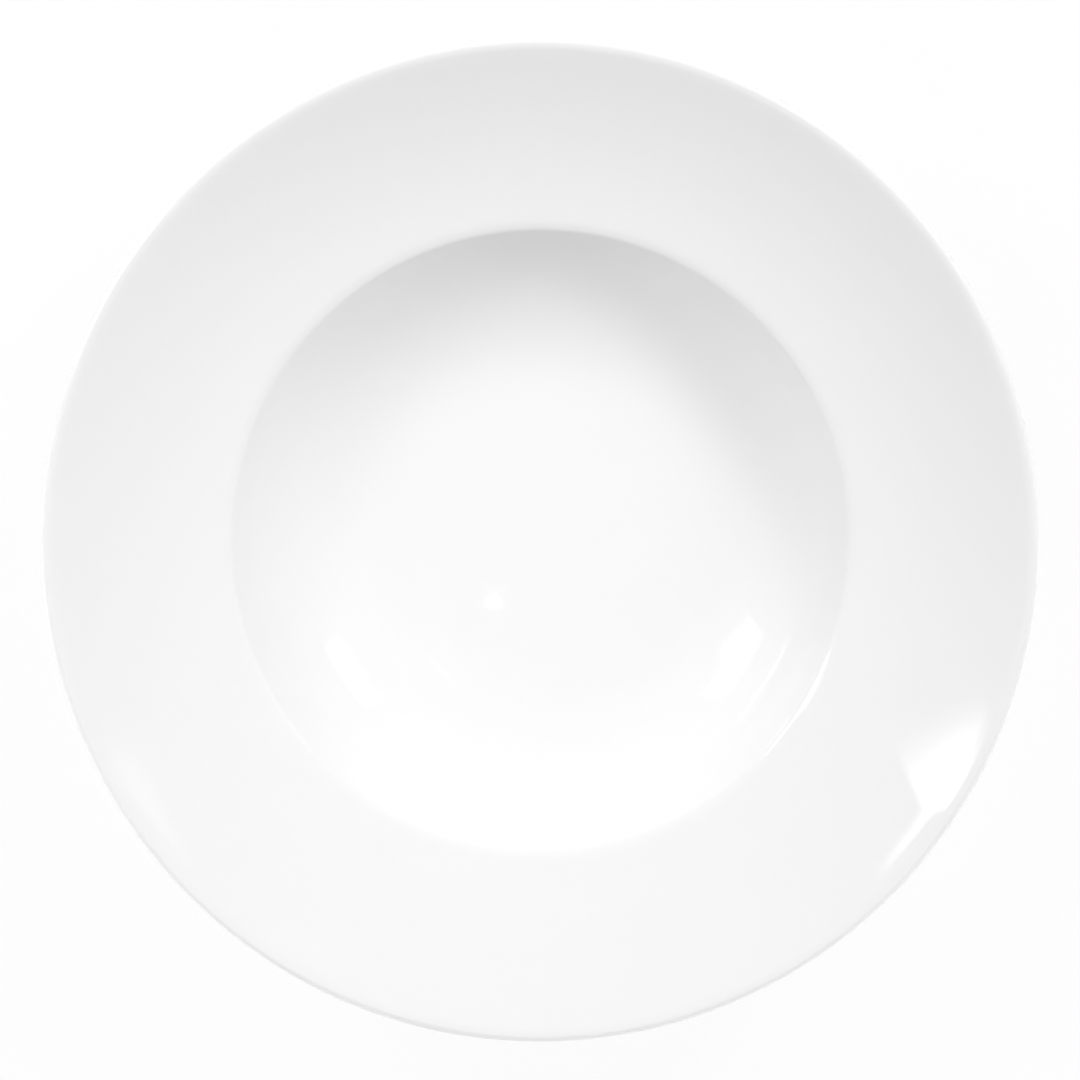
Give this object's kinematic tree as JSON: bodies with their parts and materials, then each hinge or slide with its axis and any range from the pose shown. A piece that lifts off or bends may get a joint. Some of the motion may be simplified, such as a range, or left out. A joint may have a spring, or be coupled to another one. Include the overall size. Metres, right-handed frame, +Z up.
{
  "type": "pasta bowl",
  "caption": "Round white porcelain pasta bowl with a wide, slightly hollow rim around a deep well, standing on an unglazed foot ring.",
  "frame": {"origin": "on the bowl's axis, in the plane that the foot ring stands on", "axes": "+Z up along the bowl's axis, out of the well; X and Y are free because the bowl is round"},
  "size_m": [0.2998, 0.2998, 0.0564],
  "materials": {
    "fired_porcelain": "bare fired porcelain, matte",
    "white_glaze": "clear glaze over white porcelain, glossy"
  },
  "bodies": {
    "root": {"porcelain_body": "fired_porcelain", "glaze_coat": "white_glaze", "base_glaze": "white_glaze"}
  },
  "joints": []
}
